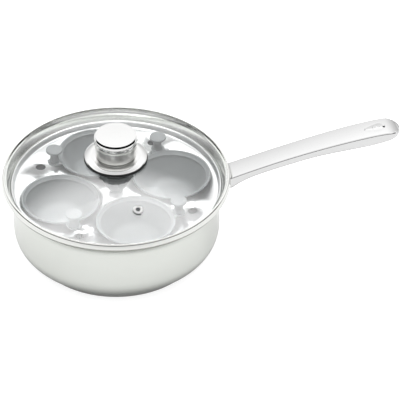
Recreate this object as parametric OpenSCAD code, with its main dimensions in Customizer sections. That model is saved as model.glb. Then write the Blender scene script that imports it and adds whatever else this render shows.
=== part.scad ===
// Egg poacher pan: a flared saucepan with a lift-out poaching tray, four cups and a glass lid.
// Sizes are in millimetres. The origin is on the pan's axis at the underside of the base.
// +Z is up and +X runs along the handle.

/* [Pan] */
// Outer radius of the upright wall
pan_r = 96.8; // [92:0.1:105]
// Height of the lip above the ground
pan_h = 78.2; // [72:0.1:92]
// Thickness of the wall and floor
pan_wall = 1; // [0.8:0.1:1.6]
// Outer radius of the rounded lower corner
pan_corner_r = 24; // [18:0.5:28]
// Radius of the curve that flares the lip
flare_r = 16; // [13:0.5:18]
// Angle that the flare turns through
flare_deg = 65; // [58:1:70]
// Radius of the rolled edge of the lip
lip_bead_r = 0.8; // [0.6:0.1:1.2]

/* [Base] */
// Radius of the base disc under the pan
base_r = 79; // [70:0.5:80]
// Thickness of the whole base disc
base_h = 5.5; // [4:0.1:8]
// Thickness of the steel skin round the base core
base_skin = 0.8; // [0.6:0.1:1.5]

/* [Tray] */
// Drop from the pan's lip to the top of the tray floor
tray_drop = 11.8; // [10:0.1:13.5]
// Drop from the pan's lip to the tray's rolled rim
tray_rim_drop = 7.4; // [6.4:0.1:8.4]
// Thickness of the tray sheet
tray_t = 0.8; // [0.6:0.1:1.2]
// Radius of the fillet between tray floor and tray wall
tray_fillet_r = 1.6; // [1:0.1:3]
// Radius of the tray's rolled rim
tray_bead_r = 0.9; // [0.7:0.1:1.3]
// Clearance between the tray and the pan's flare
tray_gap = 0.3; // [0.2:0.05:0.6]
// Radius of the steam holes
steam_hole_r = 4.75; // [3:0.25:6]
// Distance from the axis to the steam holes
steam_pitch_r = 78.4; // [74:0.2:84]

/* [Tray knob] */
// Height of the tray knob
tray_knob_h = 22; // [18:0.5:24]
// Radius of the tray knob's top disc
tray_knob_r = 15; // [12:0.5:16]
// Radius of the tray knob's foot
tray_knob_foot_r = 6.6; // [5.5:0.1:9]
// Radius of the tray knob screw
tray_screw_r = 2; // [1.5:0.1:2.5]

/* [Cups] */
// Bearing of the first cup, from the handle
cup_bearing = 12; // [0:1:44]
// Distance from the axis to a cup's centre
cup_pitch_r = 54.4; // [54:0.2:58]
// Outer radius of a cup's rolled rim
cup_rim_r = 36.8; // [34:0.1:37.4]
// Height of a cup's rim above the tray floor
cup_proud = 3.6; // [3.2:0.1:6]
// Depth of a cup from rim to outer floor
cup_depth = 26.5; // [22:0.5:32]
// Thickness of a cup's wall
cup_wall = 1.2; // [0.8:0.1:1.6]
// Radius of the rolled rim of a cup
cup_bead_r = 1.2; // [1:0.1:1.6]
// Radius of a cup's flat floor
cup_floor_r = 15; // [10:0.5:20]
// Width of the shoulder that rests on the tray
cup_shoulder = 1.5; // [1:0.1:2.5]
// Clearance between a cup's body and its hole
cup_hole_gap = 0.4; // [0.3:0.05:0.8]
// Clearance between a cup's shoulder and the tray floor
cup_seat_gap = 0.15; // [0.1:0.05:0.3]

/* [Cup knobs] */
// Bearing of a cup's ear, from the cup's outward radius
ear_bearing = 88; // [70:1:100]
// Distance from a cup's centre to its knob
ear_reach = 41.6; // [41:0.1:44]
// Radius of the ear's round end
ear_r = 6.2; // [5.5:0.1:7]
// Thickness of the ear
ear_t = 1.2; // [0.8:0.1:1.6]
// Height of the ear's underside above the tray floor
ear_lift = 1.7; // [1.6:0.1:2.4]
// Height of a cup knob above its ear
cup_knob_h = 13.4; // [11:0.1:15]
// Radius of a cup knob's top disc
cup_knob_r = 7.75; // [6.5:0.05:8.5]
// Radius of a cup knob's waist
cup_knob_waist_r = 3.9; // [3.2:0.1:4.5]
// Radius of the rivet in a cup knob
rivet_r = 1.6; // [1.2:0.1:2]

/* [Lid] */
// How far the lid's edge band stands out past the pan's lip
band_overhang = 0.9; // [0.5:0.1:2]
// Height of the edge band
band_h = 5.5; // [5.2:0.1:8]
// How far the band leans in from its foot to its top
band_lean = 1.6; // [1:0.1:2.4]
// Width of the flat ring under the band, which rests on the lip
band_seat_w = 6; // [4:0.1:8]
// Thickness of the band's sheet
band_t = 0.7; // [0.5:0.1:1]
// Width of the band's top edge, seen from above
band_top_w = 1.8; // [1.5:0.1:3]
// Clearance between the band and the pan's lip
lid_seat_gap = 0.2; // [0.15:0.05:0.4]
// Thickness of the glass
glass_t = 3.6; // [3:0.1:3.9]
// Rise of the glass dome above its flat edge
dome_rise = 22.1; // [18:0.1:28]
// Radius of the hole through the glass at the vent
vent_bore_r = 3.3; // [2.6:0.1:4]
// Distance from the band's outside to the vent
vent_inset = 36.5; // [30:0.5:45]
// Bearing of the vent, from the handle
vent_bearing = -80.7; // [-120:0.1:-40]
// Radius of the vent eyelet's flange
eyelet_r = 5; // [4.4:0.1:6]
// Radius of the steam hole through the eyelet
eyelet_bore_r = 2; // [1.2:0.1:2.4]

/* [Lid knob] */
// Radius of the knob's flange on the glass
knob_flange_r = 29.3; // [26:0.1:32]
// Thickness of the soft gasket under the flange
knob_gasket_t = 2.4; // [1.5:0.1:3]
// Radius of the knob's neck under the cap
knob_neck_r = 20; // [17:0.1:21]
// Height of the neck
knob_neck_h = 15; // [12:0.1:20]
// Radius of the knob's cap
knob_cap_r = 20.7; // [19:0.1:24]
// Height of the knob's cap
knob_cap_h = 6.8; // [5:0.1:9]
// Radius of the screw that holds the knob
knob_screw_r = 2.5; // [2:0.1:3]
// Radius of the soft and steel washers under the glass
washer_r = 9; // [7.5:0.5:12]

/* [Handle] */
// Distance from the axis to the handle's tip
handle_reach = 267.5; // [250:0.5:300]
// Drop from the pan's lip to the handle's top face where it leaves the lip
handle_root_drop = 0; // [0:0.1:4]
// Rise of the top face from root to end
handle_rise = 36.5; // [30:0.5:45]
// Depth of the handle's side where it leaves the pan
handle_root_depth = 12; // [10:0.1:14]
// Depth of the handle's side along the grip
handle_depth = 7.4; // [7:0.1:10]
// Depth of the handle's side round the hanging hole
handle_end_depth = 10.5; // [8:0.1:13]
// Half width of the handle at its root
handle_root_w = 12.2; // [11:0.1:14]
// Half width of the handle at its waist
handle_waist_w = 11.7; // [9:0.1:12]
// Half width of the handle at its end
handle_end_w = 12.8; // [11:0.1:14]
// Thickness of the handle's pressed sheet
handle_t = 1.2; // [1:0.1:1.5]
// Half width of the hanging hole
hole_w = 5.6; // [4.5:0.1:6.5]
// Length of the hanging hole
hole_len = 19; // [16:0.5:24]

/* [Hidden] */

$fn = 96;
eps = 0.01;
// Clearance between pieces that are fixed together
fit = 0.08;
// Steps along one curved stretch of an outline
arc_steps = 14;

// The pan's flare turns about this point of the section
flare_x = pan_r + flare_r;
flare_z = pan_h - lip_bead_r - (flare_r + pan_wall / 2) * sin(flare_deg);
lip_x = flare_x - (flare_r + pan_wall / 2) * cos(flare_deg);

// The tray follows the inside of the flare
tray_z = pan_h - tray_drop;
tray_outer_curve = flare_r + pan_wall + tray_gap;
tray_inner_curve = tray_outer_curve + tray_t;
tray_rim_deg = asin((pan_h - tray_rim_drop - flare_z) / (tray_outer_curve + tray_t / 2));
tray_fillet_z = tray_z + tray_fillet_r;
tray_fillet_deg = asin((tray_fillet_z - flare_z) / (tray_inner_curve + tray_fillet_r));
tray_fillet_x = flare_x - (tray_inner_curve + tray_fillet_r) * cos(tray_fillet_deg);

// Number of cups in the tray, as many as NODES lists
cup_count = 4;
cup_hole_r = cup_rim_r - cup_bead_r - cup_shoulder;
cup_body_r = cup_hole_r - cup_hole_gap;
cup_collar_r = cup_body_r + cup_shoulder;
cup_top_z = tray_z + cup_proud;
cup_bottom_z = cup_top_z - cup_depth;
cup_corner_r = 12;
ear_z = tray_z + ear_lift;
rivet_head_t = 1;
// Clearance between a cup knob and the cup's rolled rim
cup_knob_gap = 0.2;
rivet_len = 9;

lid_z = pan_h + lid_seat_gap;
band_r = lip_x + lip_bead_r + band_overhang;
band_top_r = band_r - band_lean;
band_top_z = lid_z + band_h;
glass_edge_r = band_top_r - band_t - 0.3;
glass_edge_z = band_top_z - band_t - 0.2;
dome_edge_r = band_top_r - band_top_w;
vent_pitch_r = band_r - vent_inset;
dome_r = (dome_edge_r * dome_edge_r + dome_rise * dome_rise) / (2 * dome_rise);
dome_c = glass_edge_z + dome_rise - dome_r;
apex_z = dome_c + dome_r;
vent_tilt = asin(vent_pitch_r / dome_r);
glass_hole_r = knob_screw_r + 2;

knob_flange_t = 1;
knob_gasket_r = knob_flange_r + 0.5;
flange_z = apex_z + fit + knob_gasket_t + fit;
neck_z = flange_z + knob_flange_t + fit;
cap_z = neck_z + knob_neck_h + fit;
spigot_r = knob_neck_r - 4;
spigot_h = 2.5;
insert_r = 5.5;
insert_h = 12;
soft_washer_t = 1.5;
steel_washer_t = 1.2;
under_z = apex_z - glass_t - fit;

handle_root_x = band_r + 0.3;
handle_root_z = pan_h - handle_root_drop;
handle_nose_r = handle_end_w;
handle_nose_x = handle_reach - handle_nose_r;
// Power that shapes the arch of the handle
handle_arch = 1.31;
handle_weld_x = pan_r - 2;
handle_steps = 36;
handle_taper_len = 30;
handle_tip_drop = 4;
handle_plate_t = 1;
bracket_t = 2.4;
bracket_len = 26;
// Slope of the top face under the lip
handle_root_slope = 0.55;
// Distances from the root: the waist, the end of the deep root, and where the side deepens again
handle_waist_at = 44;
handle_slim_at = 24;
handle_deepen_at = 68;
handle_deep_at = 132;
// The hole's round end stops this far before the middle of the handle's round end
hole_inset = 2.3;
hole_x = handle_nose_x - hole_inset - hole_len / 2;

// Points on an arc, from one angle to another
function arc(cx, cz, r, from, to, steps = arc_steps) =
    [for (i = [0:steps]) let (a = from + (to - from) * i / steps) [cx + r * cos(a), cz + r * sin(a)]];

// Points along the flare's curve, at one distance from the flare's centre
function flare(r, from, to) =
    [for (i = [0:arc_steps]) let (a = from + (to - from) * i / arc_steps)
        [flare_x - r * cos(a), flare_z + r * sin(a)]];

// Height of the glass dome's surface at a radius, with an offset along the dome's normal
function dome(r, offset = 0) = dome_c + sqrt(pow(dome_r + offset, 2) - r * r);

// Points along the dome between two radii
function dome_line(from, to, offset, steps = 30) =
    [for (i = [0:steps]) let (r = from + (to - from) * i / steps) [r, dome(r, offset)]];

// Outer outline of the pan's section, grown outwards by a clearance
function pan_outline(grow = 0) = concat(
    [[0, base_h - grow]],
    arc(pan_r - pan_corner_r, base_h + pan_corner_r, pan_corner_r + grow, -90, 0),
    flare(flare_r - grow, 0, flare_deg)
);

// Places a section at the middle of the lip's rolled edge
module at_lip() {
    translate([lip_x, pan_h - lip_bead_r])
        children();
}

// The sheet of the pan, from the axis to the rolled lip
module pan_body() {
    color("gainsboro")
    rotate_extrude() {
        polygon(concat(
            pan_outline(),
            flare(flare_r + pan_wall, flare_deg, 0),
            arc(pan_r - pan_corner_r, base_h + pan_corner_r, pan_corner_r - pan_wall, 0, -90),
            [[0, base_h + pan_wall]]
        ));
        at_lip() circle(r = lip_bead_r, $fn = 32);
    }
}

// Aluminium disc that spreads the heat, closed in by the base cap
module base_core() {
    color("silver")
    rotate_extrude()
        polygon([
            [0, base_skin],
            [base_r - base_skin - 1.5, base_skin],
            [base_r - base_skin, base_skin + 1.5],
            [base_r - base_skin, base_h],
            [0, base_h]
        ]);
}

// Height of the pan's rounded lower corner above a radius
function corner_z(r) =
    base_h + pan_corner_r - sqrt(pow(pan_corner_r, 2) - pow(max(0, r - pan_r + pan_corner_r), 2));

// Pressed steel dish under the base, with a rounded lower edge
module base_cap() {
    edge_r = 1.5 + base_skin;
    color("silver")
    rotate_extrude()
        polygon(concat(
            [[0, 0]],
            arc(base_r - edge_r, edge_r, edge_r, -90, 0, 8),
            [
                [base_r, corner_z(base_r) - fit],
                [base_r - base_skin, corner_z(base_r - base_skin) - fit],
                [base_r - base_skin, base_skin + 1.5],
                [base_r - base_skin - 1.5, base_skin],
                [0, base_skin]
            ]
        ));
}

// Height of the handle's top face at a distance from the axis
function handle_arch_z(x) =
    let (u = min(1, max(0, (x - handle_root_x) / (handle_nose_x - handle_root_x))))
    handle_root_z + handle_rise * (1 - pow(1 - u, handle_arch));

// Fall of the top face: under the lip at the root, and down round the tip
function handle_droop(x) =
    x < handle_root_x ? (handle_root_x - x) * handle_root_slope
    : x > handle_nose_x ? handle_tip_drop * pow((x - handle_nose_x) / handle_nose_r, 2)
    : 0;

// Share of a smooth step that is done at a distance from the handle's root
function handle_step(x, from, to) =
    0.5 - 0.5 * cos(180 * min(1, max(0, (x - handle_root_x - from) / (to - from))));

// Depth of the handle's side: deep at the root, slim along the grip, deeper at the hole, thin at the tip
function handle_side(x) =
    let (u = min(1, max(0, 1 - (x - handle_root_x) / handle_slim_at)),
        v = (x - handle_reach) / handle_taper_len + 1,
        side = handle_depth + (handle_root_depth - handle_depth) * u * u
            + (handle_end_depth - handle_depth) * handle_step(x, handle_deepen_at, handle_deep_at))
    side * (v > 0 ? 1 - 0.5 * v * v : 1);

// Heights of the handle's top face and of its lower edge
function handle_top(x) = handle_arch_z(x) - handle_droop(x);
function handle_low(x) = let (x = max(x, handle_root_x)) handle_arch_z(x) - handle_side(x);

// Half width of the handle at a distance from the axis
function handle_half(x) =
    let (waist_x = handle_root_x + handle_waist_at, end_x = handle_nose_x - handle_nose_r)
    x < handle_root_x ? handle_root_w
    : x < waist_x
        ? handle_waist_w + (handle_root_w - handle_waist_w) * pow((waist_x - x) / (waist_x - handle_root_x), 2)
        : handle_waist_w + (handle_end_w - handle_waist_w)
            * handle_step(x, handle_waist_at, end_x - handle_root_x);

// Plan of the handle with its round end, inset by a thickness
function handle_plan(inset = 0) =
    let (side = [for (i = [0:24]) let (x = handle_weld_x + (handle_nose_x - handle_weld_x) * i / 24)
        [x, handle_half(x) - inset]])
    concat(
        [for (p = side) [p[0], -p[1]]],
        [for (i = [1:15]) let (a = -90 + 180 * i / 16)
            [handle_nose_x + (handle_nose_r - inset) * cos(a), (handle_end_w - inset) * sin(a)]],
        [for (i = [24:-1:0]) side[i]]
    );

// Distances from the axis at which the handle's side view has a point
handle_stations = concat(
    [handle_weld_x],
    [for (i = [0:handle_steps]) handle_root_x + (handle_reach + 1 - handle_root_x) * i / handle_steps]
);

// Points along the handle's top face, lowered, and along its lower edge, raised
function handle_upper(inset) = [for (x = handle_stations) [x, handle_top(x) - inset]];
function handle_lower(lift) = [for (x = handle_stations) [x, handle_low(x) + lift]];
function backwards(points) = [for (i = [len(points) - 1:-1:0]) points[i]];

// Solid between a side view and a plan of the handle
module handle_form(profile, plan_inset) {
    intersection() {
        rotate([90, 0, 0])
            linear_extrude(height = 4 * handle_root_w, center = true)
                polygon(profile);
        linear_extrude(height = 2 * (handle_root_z + handle_rise))
            polygon(handle_plan(plan_inset));
    }
}

// Space of the pan's outside and of what stands on its lip
module pan_space(gap) {
    rotate_extrude() {
        polygon(concat(
            pan_outline(gap),
            [[flare_x - (flare_r - gap) * cos(flare_deg) + 2, pan_h + 30], [0, pan_h + 30]]
        ));
        at_lip() circle(r = lip_bead_r + gap, $fn = 32);
    }
}

// Oval hanging hole with a narrow end towards the pan, straight through the handle
module hanging_hole(grow = 0) {
    round_x = hole_x + hole_len / 2 - hole_w;
    tail_x = hole_x - hole_len / 2;
    translate([0, 0, handle_root_z]) {
        translate([round_x, 0, 0]) cylinder(r = hole_w + grow, h = 2 * handle_rise);
        linear_extrude(height = 2 * handle_rise)
            polygon([
                [round_x, hole_w + grow],
                [tail_x + 5, hole_w * 0.72 + grow],
                [tail_x + 1, hole_w * 0.3 + grow],
                [tail_x - grow, 0],
                [tail_x + 1, -hole_w * 0.3 - grow],
                [tail_x + 5, -hole_w * 0.72 - grow],
                [round_x, -hole_w - grow]
            ]);
    }
}

// Pressed top of the handle: flat face, side walls and the collar round the hanging hole
module handle_shell() {
    color("gainsboro")
    difference() {
        union() {
            difference() {
                handle_form(concat(handle_upper(0), backwards(handle_lower(0))), 0);
                handle_form(concat(handle_upper(handle_t), backwards(handle_lower(-5))), handle_t);
            }
            intersection() {
                handle_form(concat(handle_upper(eps), backwards(handle_lower(fit))), handle_t / 2);
                hanging_hole(handle_t);
            }
        }
        hanging_hole();
        pan_space(2 * eps);
    }
}

// Plate that closes the handle from below, between the side walls
module handle_underside() {
    color("silver")
    difference() {
        handle_form(
            concat(handle_lower(fit + handle_plate_t), backwards(handle_lower(fit))),
            handle_t + fit
        );
        hanging_hole(handle_t + fit);
        pan_space(eps);
    }
}

// Bracket inside the root of the handle, welded to the pan's wall
module handle_bracket() {
    half = handle_waist_w - handle_t - 1;
    lift = handle_plate_t + 2 * fit;
    weld_low = asin((handle_low(0) + lift - flare_z) / (flare_r - fit));
    weld_high = asin((handle_low(0) + lift + bracket_t - flare_z) / (flare_r - fit));
    stations = [for (x = handle_stations) if (x >= handle_root_x && x < handle_root_x + bracket_len) x];
    color("darkgray")
    rotate([90, 0, 0])
        linear_extrude(height = 2 * half, center = true)
            polygon(concat(
                flare(flare_r - fit, weld_high, weld_low),
                [for (x = stations) [x, handle_low(x) + lift]],
                backwards([for (x = stations) [x, handle_low(x) + lift + bracket_t]])
            ));
}

// Section of the tray sheet, from the axis to the rolled rim
module tray_section() {
    polygon(concat(
        [[0, tray_z - tray_t]],
        arc(tray_fillet_x, tray_fillet_z, tray_fillet_r + tray_t, -90, -tray_fillet_deg, 8),
        flare(tray_outer_curve, tray_fillet_deg, tray_rim_deg),
        flare(tray_inner_curve, tray_rim_deg, tray_fillet_deg),
        arc(tray_fillet_x, tray_fillet_z, tray_fillet_r, -tray_fillet_deg, -90, 8),
        [[0, tray_z]]
    ));
    translate([
        flare_x - (tray_outer_curve + tray_bead_r) * cos(tray_rim_deg),
        flare_z + (tray_outer_curve + tray_bead_r) * sin(tray_rim_deg)
    ])
        circle(r = tray_bead_r, $fn = 32);
}

// Polished tray with holes for the cups, the steam and the knob's screw
module poaching_tray() {
    color("whitesmoke")
    difference() {
        rotate_extrude() tray_section();
        for (i = [0:cup_count - 1]) {
            rotate([0, 0, cup_bearing + 360 / cup_count * i])
                translate([cup_pitch_r, 0, tray_z - 5])
                    cylinder(r = cup_hole_r, h = 10);
            rotate([0, 0, cup_bearing + 360 / cup_count * (i + 0.5)])
                translate([steam_pitch_r, 0, tray_z - 5])
                    cylinder(r = steam_hole_r, h = 10);
        }
        translate([0, 0, tray_z - 5]) cylinder(r = tray_screw_r + 0.2, h = 10);
    }
}

// Turned knob in the middle of the tray: narrow foot, bowl and flat top disc
module tray_knob() {
    top = tray_z + fit + tray_knob_h;
    foot = tray_z + fit;
    color("dimgray")
    difference() {
        rotate_extrude()
            polygon(concat(
                [[0, foot], [tray_knob_foot_r, foot], [tray_knob_foot_r, foot + 0.8]],
                [for (i = [1:10]) let (t = i / 10)
                    [tray_knob_foot_r + (tray_knob_r - 0.8 - tray_knob_foot_r) * sin(90 * t),
                        foot + 0.8 + (tray_knob_h - 5.6) * t]],
                arc(tray_knob_r - 1.2, top - 2.8, 1.2, -60, 0, 4),
                arc(tray_knob_r - 1.2, top - 1.2, 1.2, 0, 90, 6),
                [[tray_knob_r - 3, top], [tray_knob_r - 4, top - 0.4], [0, top - 0.4]]
            ));
        translate([0, 0, foot - 1]) cylinder(r = tray_screw_r + fit, h = 1 + tray_knob_h / 2);
    }
}

// Pan-head screw up through the tray into its knob
module tray_knob_screw() {
    head_z = tray_z - tray_t - fit;
    color("silver") {
        difference() {
            union() {
                translate([0, 0, head_z - eps]) cylinder(r = tray_screw_r, h = tray_knob_h / 2 - 0.6);
                rotate_extrude()
                    polygon(concat(
                        [[0, head_z], [2.1 * tray_screw_r, head_z]],
                        arc(2.1 * tray_screw_r - 1.2, head_z - 1.2, 1.2, 0, -90, 6),
                        [[0, head_z - 2.4]]
                    ));
            }
            translate([-2.6, -0.4, head_z - 3]) cube([5.2, 0.8, 1.5]);
            translate([-0.4, -2.6, head_z - 3]) cube([0.8, 5.2, 1.5]);
        }
    }
}

// Places a cup's piece at one of the four holes
module at_cup(i) {
    rotate([0, 0, cup_bearing + 360 / cup_count * (i - 1)])
        translate([cup_pitch_r, 0, 0])
            children();
}

// Places a knob's piece on the ear of a cup
module at_ear() {
    rotate([0, 0, ear_bearing])
        translate([ear_reach, 0, 0])
            children();
}

// Non-stick cup: flat floor, sloped wall, shoulder on the tray, rolled rim and ear
module cup(i) {
    shoulder_z = tray_z + cup_seat_gap;
    neck_z0 = tray_z - tray_t - 1.2;
    corner_x = cup_floor_r;
    corner_z = cup_bottom_z + cup_corner_r;
    // The wall leaves the corner's arc at this angle and runs straight to the neck
    run = cup_body_r - corner_x;
    rise = neck_z0 - corner_z;
    span = sqrt(run * run + rise * rise);
    lean = atan2(run, rise) - asin(cup_corner_r / span);
    bead_x = cup_rim_r - cup_bead_r;
    bead_z = cup_top_z - cup_bead_r;
    color("dimgray")
    at_cup(i)
    difference() {
        union() {
            rotate_extrude() {
                polygon(concat(
                    [[0, cup_bottom_z]],
                    arc(corner_x, corner_z, cup_corner_r, -90, -lean, 10),
                    [
                        [cup_body_r, neck_z0],
                        [cup_body_r, shoulder_z],
                        [cup_collar_r, shoulder_z],
                        [cup_collar_r + 0.3, shoulder_z + 0.3],
                        [bead_x + 0.2, bead_z],
                        [bead_x - cup_wall, bead_z + cup_bead_r * 0.6],
                        [cup_collar_r - cup_wall, shoulder_z + cup_wall],
                        [cup_body_r - cup_wall, shoulder_z + 0.2],
                        [cup_body_r - cup_wall, neck_z0]
                    ],
                    arc(corner_x, corner_z, cup_corner_r - cup_wall, -lean, -90, 10),
                    [[0, cup_bottom_z + cup_wall]]
                ));
                translate([bead_x, bead_z]) circle(r = cup_bead_r, $fn = 32);
            }
            intersection() {
                union() {
                    at_ear()
                        translate([0, 0, ear_z]) cylinder(r = ear_r, h = ear_t);
                    rotate([0, 0, ear_bearing])
                        translate([cup_collar_r - 3, -ear_r, ear_z])
                            cube([ear_reach - cup_collar_r + 3, 2 * ear_r, ear_t]);
                }
                difference() {
                    translate([0, 0, ear_z]) cylinder(r = ear_reach + ear_r + 1, h = ear_t);
                    translate([0, 0, ear_z - 1]) cylinder(r = cup_collar_r - cup_wall / 2, h = ear_t + 2);
                }
            }
        }
        at_ear() translate([0, 0, ear_z - 1]) cylinder(r = rivet_r + fit, h = ear_t + 2);
    }
}

// Mushroom knob on a cup's ear: wide foot, waist and flat top disc
module cup_knob(i) {
    foot = ear_z + ear_t + fit;
    foot_r = min(ear_r - 0.5, ear_reach - cup_rim_r - cup_knob_gap);
    disc_t = 2.2;
    waist_h = cup_knob_h * 0.55;
    color("dimgray")
    at_cup(i) at_ear()
    difference() {
        rotate_extrude()
            polygon(concat(
                [[0, foot], [foot_r, foot]],
                [for (t = [0:0.125:1])
                    [foot_r - (foot_r - cup_knob_waist_r) * sin(90 * t), foot + 0.8 + (waist_h - 0.8) * t]],
                [for (t = [0.2:0.2:1])
                    [cup_knob_waist_r + (cup_knob_r - 0.7 - cup_knob_waist_r) * (1 - cos(90 * t)),
                        foot + waist_h + (cup_knob_h - disc_t - waist_h) * t]],
                arc(cup_knob_r - 0.7, foot + cup_knob_h - disc_t + 0.7, 0.7, -60, 0, 4),
                arc(cup_knob_r - 0.7, foot + cup_knob_h - 0.7, 0.7, 0, 90, 6),
                [[0, foot + cup_knob_h]]
            ));
        translate([0, 0, foot - 1]) cylinder(r = rivet_r + fit, h = rivet_len + 0.6);
    }
}

// Flat-headed rivet up through the ear into the knob
module cup_rivet(i) {
    head_z = ear_z - fit;
    color("silver")
    at_cup(i) at_ear()
    rotate_extrude()
        polygon([
            [0, head_z - rivet_head_t],
            [2 * rivet_r - 0.4, head_z - rivet_head_t],
            [2 * rivet_r, head_z - rivet_head_t + 0.4],
            [2 * rivet_r, head_z],
            [rivet_r, head_z],
            [rivet_r, head_z + rivet_len],
            [0, head_z + rivet_len]
        ]);
}

// Tempered glass dome with a hole for the knob and one for the vent
module lid_glass() {
    inner_z = glass_edge_z - glass_t;
    inner_edge_r = sqrt(pow(dome_r - glass_t, 2) - pow(inner_z - dome_c, 2));
    color("lightcyan", 0.35)
    difference() {
        rotate_extrude()
            polygon(concat(
                dome_line(0, dome_edge_r, 0),
                [
                    [glass_edge_r - 0.5, glass_edge_z],
                    [glass_edge_r, glass_edge_z - 0.5],
                    [glass_edge_r, inner_z + 0.5],
                    [glass_edge_r - 0.5, inner_z]
                ],
                dome_line(inner_edge_r, 0, -glass_t)
            ));
        translate([0, 0, apex_z - 10]) cylinder(r = glass_hole_r, h = 20);
        at_vent() translate([0, 0, -10]) cylinder(r = vent_bore_r, h = 20);
    }
}

// Places a piece at the vent, with +Z along the dome's normal
module at_vent() {
    rotate([0, 0, vent_bearing])
        translate([vent_pitch_r, 0, dome(vent_pitch_r)])
            rotate([0, vent_tilt, 0])
                children();
}

// Rolled steel band round the glass, with a leaning side and a flat ring that rests on the lip
module lid_band() {
    seat_z = lid_z + band_t;
    color("gainsboro")
    rotate_extrude()
        polygon([
            [band_r - band_seat_w, lid_z],
            [band_r - 0.25, lid_z],
            [band_r, lid_z + 0.25],
            [band_r - 0.25, seat_z],
            [band_top_r + 0.15, band_top_z - 0.7],
            [band_top_r - 0.15, band_top_z - 0.2],
            [band_top_r - 0.7, band_top_z],
            [dome_edge_r + 0.3, band_top_z],
            [dome_edge_r, band_top_z - 0.3],
            [dome_edge_r, band_top_z - band_t + 0.1],
            [band_top_r - band_t, band_top_z - band_t + 0.1],
            [band_r - 0.4 - band_t, seat_z],
            [band_r - band_seat_w, seat_z]
        ]);
}

// Steel eyelet rolled through the vent hole
module vent_eyelet() {
    shank_r = vent_bore_r - fit;
    low = -glass_t - fit;
    color("silver")
    at_vent()
    rotate_extrude()
        polygon(concat(
            [
                [eyelet_bore_r, low - 0.7],
                [eyelet_r - 0.7, low - 0.7],
                [eyelet_r - 0.3, low - 0.3],
                [eyelet_r - 0.5, low],
                [shank_r, low],
                [shank_r, fit],
                [eyelet_r, fit + 0.1],
                [eyelet_r, fit + 0.4]
            ],
            arc(eyelet_r - 1.3, fit + 0.4, 1.3, 15, 90, 5),
            [[eyelet_bore_r + 0.7, fit + 1.5], [eyelet_bore_r, fit + 0.9]]
        ));
}

// Soft black gasket between the glass and the knob's flange
module knob_gasket() {
    color("black")
    rotate_extrude()
        polygon(concat(
            dome_line(glass_hole_r, knob_gasket_r - 0.4, fit, 12),
            [[knob_gasket_r, dome(knob_gasket_r, fit + 0.5)],
                [knob_gasket_r, dome(knob_gasket_r, fit + knob_gasket_t - 0.4)]],
            dome_line(knob_gasket_r - 0.4, glass_hole_r, fit + knob_gasket_t, 12)
        ));
}

// Chrome flange that follows the dome, with a rounded edge
module knob_flange() {
    low = 2 * fit + knob_gasket_t;
    color("whitesmoke")
    rotate_extrude()
        polygon(concat(
            dome_line(knob_screw_r + 0.3, knob_flange_r, low, 12),
            [[knob_flange_r, dome(knob_flange_r, low + 0.5)],
                [knob_flange_r - 0.5, dome(knob_flange_r - 0.5, low + knob_flange_t)],
                [knob_flange_r - 2.4, dome(knob_flange_r - 2.4, low + knob_flange_t + 0.55)],
                [knob_neck_r + 3, dome(knob_flange_r - 5, low + knob_flange_t + 0.9)],
                [knob_neck_r, flange_z + knob_flange_t],
                [knob_screw_r + 0.3, flange_z + knob_flange_t]]
        ));
}

// Chrome neck: a deep bowl with a rounded foot and a groove under the cap
module knob_neck() {
    top = neck_z + knob_neck_h;
    color("whitesmoke")
    difference() {
        rotate_extrude()
            polygon(concat(
                [[0, neck_z], [knob_neck_r - 2.2, neck_z]],
                arc(knob_neck_r - 2.6, neck_z + 1.7, 1.8, -75, -10, 6),
                [for (t = [0:0.125:1])
                    [knob_neck_r - 0.8 + 0.8 * t * t, neck_z + 2 + (knob_neck_h - 4) * t]],
                [[knob_neck_r - 0.2, top - 1.2], [knob_neck_r - 1.4, top - 0.9], [knob_neck_r - 1.4, top],
                    [0, top]]
            ));
        translate([0, 0, top - spigot_h]) cylinder(r = spigot_r + fit, h = spigot_h + 1);
        translate([0, 0, neck_z - 1]) cylinder(r = insert_r + fit, h = insert_h + 1 + fit);
    }
}

// Chrome cap: flat top, rounded edge and a spigot that seats in the neck
module knob_cap() {
    top = cap_z + knob_cap_h;
    color("whitesmoke")
    rotate_extrude()
        polygon(concat(
            [[0, cap_z - spigot_h + fit], [spigot_r, cap_z - spigot_h + fit], [spigot_r, cap_z]],
            arc(knob_cap_r - 0.9, cap_z + 0.9, 0.9, -90, -10, 6),
            arc(knob_cap_r - 1.7, top - 1.7, 1.6, 0, 90, 8),
            [[knob_cap_r - 3, top], [0, top + 0.15]]
        ));
}

// Threaded brass insert inside the neck
module knob_insert() {
    color("goldenrod")
    difference() {
        translate([0, 0, neck_z]) cylinder(r = insert_r, h = insert_h);
        translate([0, 0, neck_z - 1]) cylinder(r = knob_screw_r + fit, h = insert_h - 1);
    }
}

// Screw from below through the washers, the glass and the flange
module knob_screw() {
    head_z = under_z - soft_washer_t - steel_washer_t - 2 * fit;
    color("silver")
    difference() {
        union() {
            translate([0, 0, head_z]) cylinder(r = knob_screw_r, h = neck_z + insert_h - 3 - head_z);
            rotate_extrude()
                polygon(concat(
                    [[0, head_z + eps], [2 * knob_screw_r, head_z + eps]],
                    arc(2 * knob_screw_r - 1.6, head_z - 1.4, 1.6, 0, -90, 6),
                    [[0, head_z - 3]]
                ));
        }
        translate([-3, -0.5, head_z - 4]) cube([6, 1, 2.4]);
        translate([-0.5, -3, head_z - 4]) cube([1, 6, 2.4]);
    }
}

// Soft washer against the inside of the glass
module soft_washer() {
    color("black")
    rotate_extrude()
        polygon(concat(
            [[knob_screw_r + 0.3, under_z - soft_washer_t], [washer_r, under_z - soft_washer_t]],
            [for (r = [washer_r:-1.5:3]) [r, dome(r, -glass_t - fit)]]
        ));
}

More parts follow.
